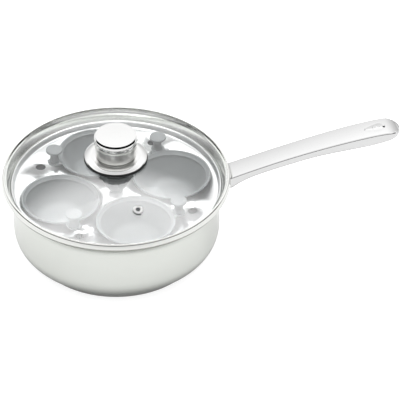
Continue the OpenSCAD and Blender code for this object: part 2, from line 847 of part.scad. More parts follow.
// Steel washer under the soft one
module steel_washer() {
    top = under_z - soft_washer_t - fit;
    color("silver")
    rotate_extrude()
        polygon([
            [knob_screw_r + 0.3, top - steel_washer_t],
            [washer_r - 1.3, top - steel_washer_t],
            [washer_r - 1, top - steel_washer_t + 0.3],
            [washer_r - 1, top],
            [knob_screw_r + 0.3, top]
        ]);
}

pan_body();
base_core();
base_cap();
handle_shell();
handle_underside();
handle_bracket();
poaching_tray();
tray_knob();
tray_knob_screw();
cup(1);  // cup_1
cup(2);  // cup_2
cup(3);  // cup_3
cup(4);  // cup_4
cup_knob(1);  // cup_knob_1
cup_knob(2);  // cup_knob_2
cup_knob(3);  // cup_knob_3
cup_knob(4);  // cup_knob_4
cup_rivet(1);  // cup_rivet_1
cup_rivet(2);  // cup_rivet_2
cup_rivet(3);  // cup_rivet_3
cup_rivet(4);  // cup_rivet_4
lid_glass();
lid_band();
vent_eyelet();
knob_gasket();
knob_flange();
knob_neck();
knob_cap();
knob_insert();
knob_screw();
soft_washer();
steel_washer();
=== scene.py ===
"""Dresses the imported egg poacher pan: pan, handle, poaching tray, cups and glass lid.

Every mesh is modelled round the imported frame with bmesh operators, with the pan's axis at the
origin, +Z up and the handle along +X. Sizes of pieces are in millimetres, as are the radii
and heights of a section's points. Meshes and the studio are in metres.
"""

import logging
import math
from collections.abc import Callable, Iterable, Sequence
from dataclasses import dataclass, field
from enum import Enum

import bmesh
import bpy
from bpy.types import ID, Material, Mesh, Node, NodeSocket, NodeTree, Object
from mathutils import Matrix, Vector


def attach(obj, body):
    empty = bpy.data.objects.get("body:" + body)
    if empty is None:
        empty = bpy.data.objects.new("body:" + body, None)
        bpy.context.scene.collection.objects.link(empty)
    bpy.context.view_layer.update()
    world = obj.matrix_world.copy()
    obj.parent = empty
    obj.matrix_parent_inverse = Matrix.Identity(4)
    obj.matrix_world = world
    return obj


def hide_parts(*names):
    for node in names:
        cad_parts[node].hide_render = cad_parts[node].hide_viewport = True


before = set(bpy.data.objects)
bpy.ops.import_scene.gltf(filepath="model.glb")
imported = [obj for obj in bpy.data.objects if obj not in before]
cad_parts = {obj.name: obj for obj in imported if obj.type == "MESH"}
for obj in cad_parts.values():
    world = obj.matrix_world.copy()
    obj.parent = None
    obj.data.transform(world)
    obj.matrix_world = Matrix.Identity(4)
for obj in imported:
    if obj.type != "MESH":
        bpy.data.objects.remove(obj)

MM = 0.001
FIT = 0.08
TINY = 1e-6
SPIN_MERGE = 1e-7
STRAIGHT_DEG = 89.0
SPIN_STEPS = 192
SMALL_SPIN_STEPS = 64
CREASE_DEG = 38.0
PRESSED_CREASE_DEG = 50.0
SMUDGES = "smudges"
WHITE = (1.0, 1.0, 1.0, 1.0)

Point = tuple[float, float]
Triple = tuple[float, float, float]
BMesh = bmesh.types.BMesh
BMVert = bmesh.types.BMVert
Value = NodeSocket | float | tuple

log = logging.getLogger("egg_poacher")


class Grain(Enum):
    """The way a surface was finished, which sets the pattern on it."""

    TURNED = "turned_lines"
    BRUSHED = "brushed_lines"
    SPECKLED = "speckle"


def arc(centre: Point, radius: float, start: float, end: float, steps: int = 8) -> list[Point]:
    """Gives points along an arc of a section.

    Args:
        centre: The arc's centre.
        radius: The arc's radius.
        start: The first angle in degrees.
        end: The last angle in degrees.
        steps: The number of stretches between the points.

    Returns:
        The points from the first angle to the last.
    """
    turns = [math.radians(start + (end - start) * i / steps) for i in range(steps + 1)]
    return [(centre[0] + radius * math.cos(t), centre[1] + radius * math.sin(t)) for t in turns]


def eased(start: Point, end: Point, ease: Callable[[float], float], steps: int, skip: int = 0
          ) -> list[Point]:
    """Gives points whose height runs evenly, while the radius follows a curve.

    Args:
        start: The first point.
        end: The last point.
        ease: Turns the share of the height into the share of the radius.
        steps: The number of stretches from start to end.
        skip: The number of points left out at the start.

    Returns:
        The points up to the end.
    """
    (r, z), (far_r, far_z) = start, end
    shares = [i / steps for i in range(skip, steps + 1)]
    return [(r + (far_r - r) * ease(t), z + (far_z - z) * t) for t in shares]


def swell(share: float) -> float:
    """Rises fast and then levels out."""
    return math.sin(math.pi / 2 * share)


def spread(share: float) -> float:
    """Starts level and then rises fast."""
    return 1 - math.cos(math.pi / 2 * share)


def rounded(corners: Sequence[Triple], steps: int = 5) -> list[Point]:
    """Rounds the corners of a closed outline.

    Args:
        corners: Each corner, with the radius that rounds it as its third number.
        steps: The number of stretches along each rounded corner.

    Returns:
        The outline's points in the same order.
    """
    points: list[Point] = []
    for i, (x, z, radius) in enumerate(corners):
        here = Vector((x, z))
        back = (Vector(corners[i - 1][:2]) - here).normalized()
        ahead = (Vector(corners[(i + 1) % len(corners)][:2]) - here).normalized()
        half = back.angle(ahead) / 2
        if radius <= 0 or half > math.radians(STRAIGHT_DEG):
            points.append((x, z))
            continue
        centre = here + (back + ahead).normalized() * radius / math.sin(half)
        reach = radius / math.tan(half)
        first, last = here + back * reach - centre, here + ahead * reach - centre
        turn = math.atan2(first.x * last.y - first.y * last.x, first.dot(last))
        for k in range(steps + 1):
            spoke = Matrix.Rotation(turn * k / steps, 2) @ first
            points.append((centre.x + spoke.x, centre.y + spoke.y))
    return points


def swung(bearing: float, pitch: float) -> Matrix:
    """Gives the move from an axis out by a pitch in millimetres, at a bearing in degrees."""
    return Matrix.Rotation(math.radians(bearing), 4, "Z") @ Matrix.Translation((pitch * MM, 0, 0))


def spun(bm: BMesh, outline: Sequence[Point], closed: bool = True, steps: int = SPIN_STEPS) -> None:
    """Spins a section about the Z axis into a bmesh.

    Args:
        bm: The bmesh that takes the new faces.
        outline: The section's points.
        closed: Joins the last point to the first.
        steps: The number of stretches round the axis.
    """
    before = set(bm.verts)
    verts = [bm.verts.new((r * MM, 0, z * MM)) for r, z in outline]
    pairs = list(zip(verts, verts[1:])) + ([(verts[-1], verts[0])] if closed else [])
    edges = [bm.edges.new(pair) for pair in pairs]
    bmesh.ops.spin(bm, geom=verts + edges, cent=(0, 0, 0), axis=(0, 0, 1), dvec=(0, 0, 0),
                   angle=math.tau, steps=steps, use_merge=True, use_duplicate=False)
    bmesh.ops.remove_doubles(bm, verts=[v for v in bm.verts if v not in before], dist=SPIN_MERGE)


def smooth(mesh: Mesh, crease_deg: float) -> None:
    """Shades a mesh smooth, but for the edges that turn more than an angle."""
    mesh.shade_smooth()
    mesh.set_sharp_from_angle(angle=math.radians(crease_deg))


def to_object(bm: BMesh, name: str, crease_deg: float = CREASE_DEG, recalc: bool = True) -> Object:
    """Makes an object at the origin from a bmesh, smooth but for its creases.

    Args:
        bm: The bmesh, which is freed.
        name: The object's name.
        crease_deg: Edges that turn more than this stay sharp.
        recalc: Turns all the faces outwards first.

    Returns:
        The new object.
    """
    if recalc:
        bmesh.ops.recalc_face_normals(bm, faces=bm.faces)
    mesh = bpy.data.meshes.new(name)
    bm.to_mesh(mesh)
    bm.free()
    smooth(mesh, crease_deg)
    obj = bpy.data.objects.new(name, mesh)
    bpy.context.scene.collection.objects.link(obj)
    return obj


def turned(name: str, outline: Sequence[Point], closed: bool = True, steps: int = SPIN_STEPS,
           place: Matrix | None = None) -> Object:
    """Makes a turned piece from one section.

    Args:
        name: The object's name.
        outline: The section's points.
        closed: Joins the last point to the first.
        steps: The number of stretches round the axis.
        place: Moves the mesh from the axis to its place.

    Returns:
        The new object.
    """
    bm = bmesh.new()
    spun(bm, outline, closed, steps)
    if place is not None:
        bmesh.ops.transform(bm, matrix=place, verts=bm.verts)
    return to_object(bm, name)


def thickened(obj: Object, sheet: float, side: int) -> Object:
    """Gives a face its sheet's thickness.

    Args:
        obj: The object with the face.
        sheet: The thickness in millimetres.
        side: The side that the sheet grows to, 1 along the normals or -1 against them.

    Returns:
        The same object.
    """
    wall = obj.modifiers.new("sheet", "SOLIDIFY")
    wall.thickness, wall.offset = sheet * MM, side
    return obj


def cut(obj: Object, cutter: BMesh) -> None:
    """Cuts a closed shape out of an object.

    Args:
        obj: The object to cut.
        cutter: The shape to take away, which is freed.
    """
    tool = to_object(cutter, obj.name + "_cutter")
    away = obj.modifiers.new("cut", "BOOLEAN")
    away.operation, away.solver, away.object = "DIFFERENCE", "EXACT", tool
    bpy.context.view_layer.update()
    shape = obj.evaluated_get(bpy.context.evaluated_depsgraph_get())
    mesh = bpy.data.meshes.new_from_object(shape)
    obj.modifiers.clear()
    obj.data = mesh
    smooth(mesh, CREASE_DEG)
    bpy.data.objects.remove(tool)


class Graph:
    """A node tree that is written down as calls."""

    def __init__(self, tree: NodeTree) -> None:
        """Starts on an empty tree."""
        self.tree = tree
        tree.nodes.clear()

    def add(self, kind: str, inputs: dict | None = None, **settings: object) -> Node:
        """Adds a node.

        Args:
            kind: The node's type, without its ShaderNode prefix.
            inputs: A value or another node's output for each socket, by name or number.
            **settings: Values for the node's own properties.

        Returns:
            The new node.
        """
        node = self.tree.nodes.new(kind if kind.startswith("Node") else "ShaderNode" + kind)
        for name, value in settings.items():
            setattr(node, name, value)
        for name, value in (inputs or {}).items():
            if isinstance(value, NodeSocket):
                self.tree.links.new(value, node.inputs[name])
            else:
                node.inputs[name].default_value = value
        return node

    def maths(self, operation: str, *values: Value) -> NodeSocket:
        """Adds a Math node and gives its output."""
        return self.add("Math", dict(enumerate(values)), operation=operation).outputs[0]

    def span(self, value: NodeSocket, low: float, high: float, out_low: float, out_high: float,
             curve: str = "LINEAR") -> NodeSocket:
        """Maps a value from one range to another and gives the output."""
        ends = {0: value, 1: low, 2: high, 3: out_low, 4: out_high}
        return self.add("MapRange", ends, interpolation_type=curve).outputs[0]

    def mix(self, share: Value, first: Value, second: Value) -> NodeSocket:
        """Mixes two values by a share and gives the output."""
        return self.add("Mix", {0: share, 2: first, 3: second}).outputs[0]

    def blend(self, share: Value, first: Value, second: Value) -> NodeSocket:
        """Mixes two colours by a share and gives the output."""
        return self.add("Mix", {0: share, 6: first, 7: second}, data_type="RGBA").outputs[2]

    def noise(self, where: NodeSocket, scale: Value, detail: float = 2.0,
              roughness: float = 0.5, distortion: float = 0.0) -> NodeSocket:
        """Adds a noise texture and gives its value."""
        return self.add("TexNoise", {"Vector": where, "Scale": scale, "Detail": detail,
                                     "Roughness": roughness, "Distortion": distortion}).outputs[0]


class Pattern(Graph):
    """A shader node group that gives one pattern value for a place on a piece."""

    def __init__(self, name: str) -> None:
        """Starts the group with its sockets.

        Args:
            name: The group's name.
        """
        group = bpy.data.node_groups.new(name, "ShaderNodeTree")
        for label, way, kind in (("Vector", "INPUT", "Vector"), ("Scale", "INPUT", "Float"),
                                 ("Pattern", "OUTPUT", "Float")):
            group.interface.new_socket(label, in_out=way, socket_type="NodeSocket" + kind)
        super().__init__(group)
        start = self.add("NodeGroupInput")
        self.where, self.scale = start.outputs["Vector"], start.outputs["Scale"]

    def turned_lines(self) -> NodeSocket:
        """Draws fine rings round the Z axis, as a polishing wheel leaves them.

        Returns:
            The pattern's value.
        """
        parts = self.add("SeparateXYZ", {0: self.where})
        flat = self.add("CombineXYZ", {0: parts.outputs[0], 1: parts.outputs[1]})
        radius = self.add("VectorMath", {0: flat.outputs[0]}, operation="LENGTH").outputs["Value"]
        section = self.add("CombineXYZ", {0: radius, 2: parts.outputs[2]})
        return self.noise(section.outputs[0], self.scale, detail=3.0, roughness=0.6)

    def brushed_lines(self) -> NodeSocket:
        """Draws fine lines along the X axis, as a belt leaves them."""
        drawn_out = self.add("Mapping", {"Vector": self.where, "Scale": (0.02, 1, 1)})
        return self.noise(drawn_out.outputs[0], self.scale, detail=3.0, roughness=0.6)

    def speckle(self) -> NodeSocket:
        """Draws fine grains, as in a sprayed coating or moulded plastic.

        Returns:
            The pattern's value.
        """
        fine = self.noise(self.where, self.scale)
        grains = self.add("TexVoronoi", {"Vector": self.where, "Scale": self.scale})
        both = self.maths("MULTIPLY", fine, grains.outputs["Distance"])
        return self.span(both, 0.0, 0.5, 0.0, 1.0)

    def smudges(self) -> NodeSocket:
        """Draws broad faint patches, as wiping and handling leave them."""
        patches = self.noise(self.where, self.scale, detail=4.0, roughness=0.55, distortion=0.4)
        return self.span(patches, 0.35, 0.7, 0.0, 1.0)


@dataclass
class Effects:
    """The shader node groups that the finishes share."""

    groups: dict[str, NodeTree] = field(default_factory=dict)

    def build(self) -> "Effects":
        """Builds a group for every pattern.

        Returns:
            The effects themselves.
        """
        for name, draw in ((Grain.TURNED.value, Pattern.turned_lines),
                           (Grain.BRUSHED.value, Pattern.brushed_lines),
                           (Grain.SPECKLED.value, Pattern.speckle), (SMUDGES, Pattern.smudges)):
            group = Pattern(name)
            group.add("NodeGroupOutput", {"Pattern": draw(group)})
            self.groups[name] = group.tree
        return self

    def place(self, g: Graph, name: str, scale: float) -> NodeSocket:
        """Places a group in a material and gives its pattern.

        Args:
            g: The material's graph.
            name: The group's name.
            scale: The pattern's scale in cycles to the metre.

        Returns:
            The group's output.
        """
        where = g.add("TexCoord").outputs["Object"]
        node = g.add("Group", node_tree=self.groups[name])
        g.tree.links.new(where, node.inputs["Vector"])
        node.inputs["Scale"].default_value = scale
        return node.outputs["Pattern"]


def new_material(name: str) -> tuple[Material, Graph]:
    """Starts a material.

    Args:
        name: The material's name.

    Returns:
        The material and its graph.
    """
    mat = bpy.data.materials.new(name)
    mat.use_nodes = True
    return mat, Graph(mat.node_tree)


@dataclass(frozen=True)
class Finish:
    """One finish: its colours, its gloss and the pattern on it."""

    name: str
    colour: Triple
    second: Triple
    roughness: float
    roughness_spread: float
    grain_scale: float
    bump: float = 0.0
    metallic: float = 1.0
    grain: Grain = Grain.TURNED
    specular: float = 0.5
    smudge_scale: float = 22.0
    smudge_share: float = 0.35
    share_range: Point = (0.2, 0.8)
    bump_height: float = 0.0001

    def material(self, effects: Effects) -> Material:
        """Builds the material, or gives the one that was built before.

        Args:
            effects: The shared node groups.

        Returns:
            The material.
        """
        if self.name in bpy.data.materials:
            return bpy.data.materials[self.name]
        mat, g = new_material(self.name)
        grain = effects.place(g, self.grain.value, self.grain_scale)
        share = g.mix(self.smudge_share, grain, effects.place(g, SMUDGES, self.smudge_scale))
        low, high = self.roughness - self.roughness_spread, self.roughness + self.roughness_spread
        shader = g.add("BsdfPrincipled", {
            "Base Color": g.blend(share, (*self.colour, 1), (*self.second, 1)),
            "Roughness": g.span(share, *self.share_range, low, high),
            "Metallic": self.metallic, "Specular IOR Level": self.specular,
        })
        if self.bump:
            bump = g.add("Bump", {"Strength": self.bump, "Distance": self.bump_height, "Height": grain})
            g.tree.links.new(bump.outputs[0], shader.inputs["Normal"])
        g.add("OutputMaterial", {"Surface": shader.outputs[0]})
        return mat


@dataclass(frozen=True)
class ClearGlass:
    """Tempered glass that lets the lamp through to what it covers."""

    name: str = "tempered_glass"
    tint: Triple = (0.995, 1.0, 0.997)
    hazy: Triple = (0.98, 0.99, 0.985)
    smudge_scale: float = 30.0
    ior: float = 1.5

    def material(self, effects: Effects) -> Material:
        """Builds the material, which only the lid's glass has.

        Args:
            effects: The shared node groups.

        Returns:
            The material.
        """
        mat, g = new_material(self.name)
        smudge = effects.place(g, SMUDGES, self.smudge_scale)
        glass = g.add("BsdfPrincipled", {
            "Base Color": g.blend(smudge, (*self.tint, 1), (*self.hazy, 1)),
            "Roughness": 0.0, "Transmission Weight": 1.0, "IOR": self.ior,
        })
        clear = g.add("BsdfTransparent", {"Color": (*self.tint, 1)})
        shadow = g.add("LightPath").outputs["Is Shadow Ray"]
        shader = g.add("MixShader", {0: shadow, 1: glass.outputs[0], 2: clear.outputs[0]})
        g.add("OutputMaterial", {"Surface": shader.outputs[0]})
        return mat


PAN_STEEL = Finish("satin_pan_steel", (0.645, 0.66, 0.63), (0.61, 0.625, 0.595), 0.14, 0.03,
                   grain_scale=1100, bump=0.03)
BASE_STEEL = Finish("brushed_base_steel", (0.80, 0.80, 0.78), (0.72, 0.72, 0.70), 0.24, 0.05,
                    grain_scale=1400, bump=0.12)
HANDLE_STEEL = Finish("polished_handle_steel", (0.635, 0.635, 0.635), (0.60, 0.60, 0.60), 0.06, 0.02,
                      grain_scale=1200, bump=0.03, grain=Grain.BRUSHED)
TRAY_STEEL = Finish("mirror_tray_steel", (0.965, 0.97, 0.975), (0.94, 0.945, 0.95), 0.30, 0.03,
                    grain_scale=700, bump=0.01)
BAND_STEEL = Finish("polished_band_steel", (0.72, 0.725, 0.705), (0.68, 0.685, 0.665), 0.04, 0.012,
                    grain_scale=900, bump=0.02)
CHROME = Finish("mirror_chrome", (0.69, 0.69, 0.685), (0.665, 0.665, 0.66), 0.03, 0.01, grain_scale=700)
NECK_CHROME = Finish("satin_neck_chrome", (0.96, 0.96, 0.93), (0.92, 0.92, 0.89), 0.30, 0.03,
                     grain_scale=700)
FASTENER = Finish("turned_fastener_steel", (0.70, 0.70, 0.69), (0.60, 0.60, 0.59), 0.24, 0.05,
                  grain_scale=2200, bump=0.1)
ALUMINIUM = Finish("cast_core_aluminium", (0.76, 0.77, 0.78), (0.66, 0.67, 0.68), 0.38, 0.06,
                   grain_scale=1500, bump=0.15, grain=Grain.SPECKLED)
BRASS = Finish("turned_brass", (0.72, 0.55, 0.27), (0.62, 0.46, 0.22), 0.26, 0.05,
               grain_scale=2200, bump=0.1)
COATING = Finish("grey_nonstick_coating", (0.215, 0.228, 0.233), (0.25, 0.264, 0.27), 0.36, 0.05,
                 grain_scale=1600, bump=0.08, metallic=0.0, grain=Grain.SPECKLED)
KNOB_PLASTIC = Finish("grey_knob_plastic", (0.20, 0.21, 0.215), (0.24, 0.25, 0.255), 0.30, 0.05,
                      grain_scale=1300, bump=0.05, metallic=0.0, grain=Grain.SPECKLED)
SILICONE = Finish("black_silicone", (0.014, 0.014, 0.014), (0.024, 0.024, 0.024), 0.5, 0.06,
                  grain_scale=1200, bump=0.08, metallic=0.0, grain=Grain.SPECKLED, specular=0.35)
GLASS = ClearGlass()


@dataclass
class Workshop:
    """Finishes pieces: gives each its material and its body, and hides the imported nodes that it stands
    for.
    """

    effects: Effects
    count: int = 0

    def dress(self, obj: Object, finish: Finish | ClearGlass, body: str, slot: str,
              *nodes: str) -> None:
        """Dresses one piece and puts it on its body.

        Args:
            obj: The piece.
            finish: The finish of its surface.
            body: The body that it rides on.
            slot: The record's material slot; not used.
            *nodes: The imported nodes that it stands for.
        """
        obj.data.materials.append(finish.material(self.effects))
        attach(obj, body)
        if nodes:
            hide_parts(*nodes)
        self.count += 1
        log.info("piece %s: %d faces on %s", obj.name, len(obj.data.polygons), body)

    def dress_node(self, node: str, finish: Finish) -> None:
        """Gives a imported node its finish.

        Args:
            node: The node's name.
            finish: The finish of its surface.
        """
        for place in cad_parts[node].material_slots:
            place.material = finish.material(self.effects)
        log.info("node %s: %s", node, finish.name)


@dataclass
class Pan:
    """The saucepan's pressed body and its capsule base."""

    radius: float = 96.8
    height: float = 78.2
    wall: float = 1.0
    corner_radius: float = 24.0
    flare_radius: float = 16.0
    flare_deg: float = 65.0
    flare_end_deg: float = 63.5
    lip_bead: float = 0.8
    base_radius: float = 79.0
    base_height: float = 5.5
    base_edge: float = 2.3
    base_top: float = 6.0
    base_skin: float = 0.8

    @property
    def flare_centre(self) -> Point:
        """The centre of the lip's flare in the section."""
        drop = (self.flare_radius + self.wall / 2) * math.sin(math.radians(self.flare_deg))
        return self.radius + self.flare_radius, self.height - self.lip_bead - drop

    def flare(self, radius: float, start: float, end: float, steps: int = 16) -> list[Point]:
        """Gives points along the flare at one distance from its centre."""
        return arc(self.flare_centre, radius, 180 - start, 180 - end, steps)

    def section(self) -> list[Point]:
        """Gives the section of the pressed body, with its rolled lip.

        Returns:
            The section's points.
        """
        corner = (self.radius - self.corner_radius, self.base_height + self.corner_radius)
        lip = self.flare(self.flare_radius + self.wall / 2, self.flare_deg, self.flare_deg, 1)[0]
        roll = math.degrees(math.asin(self.wall / 2 / self.lip_bead))
        return [
            (0, self.base_height),
            *arc(corner, self.corner_radius, -90, 0, 24),
            *self.flare(self.flare_radius, 0, self.flare_end_deg),
            *arc(lip, self.lip_bead, roll - self.flare_deg, 90 - self.flare_deg - roll, 14)[1:-1],
            *self.flare(self.flare_radius + self.wall, self.flare_end_deg, 0),
            *arc(corner, self.corner_radius - self.wall, 0, -90, 24),
            (0, self.base_height + self.wall),
        ]

    def base_section(self) -> list[Point]:
        """Gives the section of the steel dish round the base core."""
        centre = (self.base_radius - self.base_edge, self.base_edge)
        return [
            (0, 0),
            *arc(centre, self.base_edge, -90, 0),
            (self.base_radius, self.base_top),
            (self.base_radius - self.base_skin, self.base_top - 0.2),
            *arc(centre, self.base_edge - self.base_skin, 0, -90, 6),
            (0, self.base_skin),
        ]

    def build(self, shop: Workshop) -> None:
        """Builds and dresses the pan's pieces.

        Args:
            shop: The workshop that dresses them.
        """
        wall = turned("pan_wall", self.section(), closed=False)
        shop.dress(wall, PAN_STEEL, "pan", "pan_steel", "pan_body")
        base = turned("base_dish", self.base_section(), closed=False)
        shop.dress(base, BASE_STEEL, "pan", "base_steel", "base_cap")
        shop.dress_node("base_core", ALUMINIUM)


@dataclass
class Handle:
    """The hollow pressed handle with its hanging hole.

    Places called "at" are measured from the root, along the handle.
    """

    pan: Pan
    root_x: float = 107.8
    weld_x: float = 104.4
    weld_gap: float = 0.3
    weld_steepest: float = 0.95
    nose_x: float = 254.7
    nose_radius: float = 12.8
    nose_share: float = 0.1
    root_z: float = 78.2
    root_slope: float = 0.55
    rise: float = 36.5
    arch: float = 1.31
    tip_drop: float = 4.0
    root_depth: float = 12.0
    depth: float = 7.4
    end_depth: float = 10.5
    taper_len: float = 30.0
    taper_share: float = 0.5
    slim_at: float = 24.0
    deepen_at: float = 68.0
    deep_at: float = 132.0
    waist_at: float = 44.0
    root_half: float = 12.2
    waist_half: float = 11.7
    end_half: float = 12.8
    sheet: float = 1.2
    plate: float = 1.0
    plate_lift: float = 0.1
    edge_round: float = 1.0
    hole_round: float = 0.4
    crown: float = 0.35
    hole_x: float = 242.9
    hole_half: float = 5.6
    hole_len: float = 19.0
    hole_taper: float = 0.45
    hole_margin: float = 1.6
    hole_slack: float = 0.5
    along: int = 96
    across: int = 16

    @property
    def reach(self) -> float:
        """The distance from the pan's axis to the handle's tip."""
        return self.nose_x + self.nose_radius

    def spine(self, x: float) -> float:
        """Gives the height of the handle's arch at a distance from the pan's axis."""
        share = min(1.0, max(0.0, (x - self.root_x) / (self.nose_x - self.root_x)))
        return self.root_z + self.rise * (1 - (1 - share) ** self.arch)

    def step(self, x: float, start: float, end: float) -> float:
        """Gives the share of a smooth step between two distances from the root."""
        share = min(1.0, max(0.0, (x - self.root_x - start) / (end - start)))
        return 0.5 - 0.5 * math.cos(math.pi * share)

    def top(self, x: float) -> float:
        """Gives the height of the top face at a distance from the pan's axis."""
        past = max(0.0, x - self.nose_x) / self.nose_radius
        return self.spine(x) - max(0.0, self.root_x - x) * self.root_slope - self.tip_drop * past ** 2

    def low(self, x: float) -> float:
        """Gives the height of the lower edge.

        Args:
            x: The distance from the pan's axis.

        Returns:
            The height, lowest at the root and rising to a thin tip.
        """
        x = max(x, self.root_x)
        near = max(0.0, 1 - (x - self.root_x) / self.slim_at)
        tip = max(0.0, (x - self.reach) / self.taper_len + 1)
        depth = self.depth + (self.root_depth - self.depth) * near ** 2
        depth += (self.end_depth - self.depth) * self.step(x, self.deepen_at, self.deep_at)
        return self.spine(x) - depth * (1 - self.taper_share * tip ** 2)

    def half(self, x: float) -> float:
        """Gives the half width of the handle.

        Args:
            x: The distance from the pan's axis.

        Returns:
            The half width, with a waist beyond the root.
        """
        before = max(0.0, 1 - max(0.0, x - self.root_x) / self.waist_at) ** 2
        after = self.step(x, self.waist_at, self.nose_x - self.nose_radius - self.root_x)
        grown = (self.root_half - self.waist_half) * before + (self.end_half - self.waist_half) * after
        return self.waist_half + grown

    def meet_pan(self, verts: Iterable[BMVert]) -> None:
        """Moves the vertices of the handle's near end onto the pan's flare.

        Args:
            verts: The handle's vertices.
        """
        cx, cz = self.pan.flare_centre
        curve = self.pan.flare_radius + self.weld_gap
        for vert in verts:
            if vert.co.x < self.weld_x * MM + TINY:
                rise = min(self.weld_steepest, (vert.co.z / MM - cz) / curve)
                radius = cx - curve * math.sqrt(1 - rise * rise)
                vert.co.x = math.sqrt((radius * MM) ** 2 - vert.co.y ** 2)

    def plan_point(self, u: float, v: float, inset: float) -> Point:
        """Gives a point of the plan.

        Args:
            u: The share of the way from the weld to the tip.
            v: The share of the half width, from -1 to 1.
            inset: The distance that the outline is drawn in, in millimetres.

        Returns:
            The point's x and y in millimetres.
        """
        straight = 1 - self.nose_share
        if u <= straight:
            x = self.weld_x + (self.nose_x - self.weld_x) * u / straight
            return x, v * (self.half(x) - inset)
        s = (u - straight) / self.nose_share
        x = self.nose_x + (self.nose_radius - inset) * s * math.sqrt(1 - v * v / 2)
        return x, (self.end_half - inset) * v * math.sqrt(1 - s * s / 2)

    def hole_outline(self, grow: float, steps: int = 40) -> list[Point]:
        """Gives the tear-shaped outline of the hanging hole.

        Args:
            grow: The distance that it is grown by.
            steps: The number of points.

        Returns:
            The outline's points in the plan.
        """
        round_x = self.hole_x + self.hole_len / 2 - self.hole_half
        points = []
        for x, y in arc((0, 0), 1, 0, 360, steps)[:-1]:
            length, tail = (self.hole_len, -x) if x < 0 else (2 * self.hole_half, 0.0)
            points.append((round_x + (length - self.hole_half + grow) * x,
                           (self.hole_half + grow) * y * (1 - self.hole_taper * tail)))
        return points

    def inside(self, spot: Vector, grow: float) -> bool:
        """Tells whether a spot of the plan lies in the hole.

        Args:
            spot: The spot in metres.
            grow: The distance that the hole is grown by, in millimetres.

        Returns:
            Whether it does.
        """
        outline = self.hole_outline(grow)
        x, y = spot.x / MM, spot.y / MM
        odd = False
        for (ax, ay), (bx, by) in zip(outline, outline[1:] + outline[:1]):
            if (ay > y) != (by > y) and x < (bx - ax) * (y - ay) / (by - ay) + ax:
                odd = not odd
        return odd

    def sheet_plan(self, inset: float) -> BMesh:
        """Makes the flat plan of the handle with the hole in it.

        Args:
            inset: The distance that the outline and the hole's edge are set back, in millimetres.

        Returns:
            A bmesh whose heights are still zero.
        """
        bm = bmesh.new()
        bmesh.ops.create_grid(bm, x_segments=self.along, y_segments=self.across, size=1)
        for vert in bm.verts:
            vert.co = Vector((*self.plan_point((vert.co.x + 1) / 2, vert.co.y, inset), 0)) * MM
        outer = {e for e in bm.edges if e.is_boundary}
        clear = [f for f in bm.faces if self.inside(f.calc_center_median(), inset + self.hole_margin)]
        bmesh.ops.delete(bm, geom=clear, context="FACES")
        inner = [e for e in bm.edges if e.is_boundary and e not in outer]
        verts = [bm.verts.new(Vector((x, y, 0)) * MM) for x, y in self.hole_outline(inset)]
        loop = [bm.edges.new((a, b)) for a, b in zip(verts, verts[1:] + verts[:1])]
        bmesh.ops.bridge_loops(bm, edges=inner + loop)
        return bm

    def grip(self) -> Object:
        """Builds the pressed top with its side walls and the turned-in edge of the hole.

        Returns:
            The new object.
        """
        bm = self.sheet_plan(0)
        rim = [e for e in bm.edges if e.is_boundary]
        for vert in bm.verts:
            x, y = vert.co.x / MM, vert.co.y / MM
            vert.co.z = (self.top(x) - self.crown * min(1.0, abs(y) / self.half(x)) ** 2) * MM
        drawn = bmesh.ops.extrude_edge_only(bm, edges=rim)["geom"]
        low = {v for v in drawn if isinstance(v, BMVert)}
        for vert in low:
            vert.co.z = self.low(vert.co.x / MM) * MM
        upright = [e for e in bm.edges if (e.verts[0] in low) != (e.verts[1] in low)]
        bmesh.ops.subdivide_edges(bm, edges=upright, cuts=3, use_grid_fill=False)
        self.meet_pan(bm.verts)
        bmesh.ops.recalc_face_normals(bm, faces=bm.faces)
        hole = [e for e in rim if all(self.inside(v.co, self.hole_slack) for v in e.verts)]
        outer = [e for e in rim if e not in hole]
        for edges, offset, clamp in ((outer, self.edge_round, False), (hole, self.hole_round, True)):
            bmesh.ops.bevel(bm, geom=edges, offset=offset * MM, segments=4, profile=0.5,
                            affect="EDGES", clamp_overlap=clamp, material=-1)
        return thickened(to_object(bm, "handle_grip", PRESSED_CREASE_DEG), self.sheet, -1)

    def underside(self) -> Object:
        """Builds the plate that closes the handle from below.

        Returns:
            The new object.
        """
        bm = self.sheet_plan(self.sheet + FIT)
        for vert in bm.verts:
            vert.co.z = (self.low(vert.co.x / MM) + self.plate_lift) * MM
        self.meet_pan(bm.verts)
        return thickened(to_object(bm, "handle_plate", PRESSED_CREASE_DEG), self.plate, 1)

    def build(self, shop: Workshop) -> None:
        """Builds and dresses the handle's pieces.

        Args:
            shop: The workshop that dresses them.
        """
        shop.dress(self.grip(), HANDLE_STEEL, "pan", "handle_steel", "handle_shell")
        shop.dress(self.underside(), HANDLE_STEEL, "pan", "handle_steel", "handle_underside")
        shop.dress_node("handle_bracket", FASTENER)


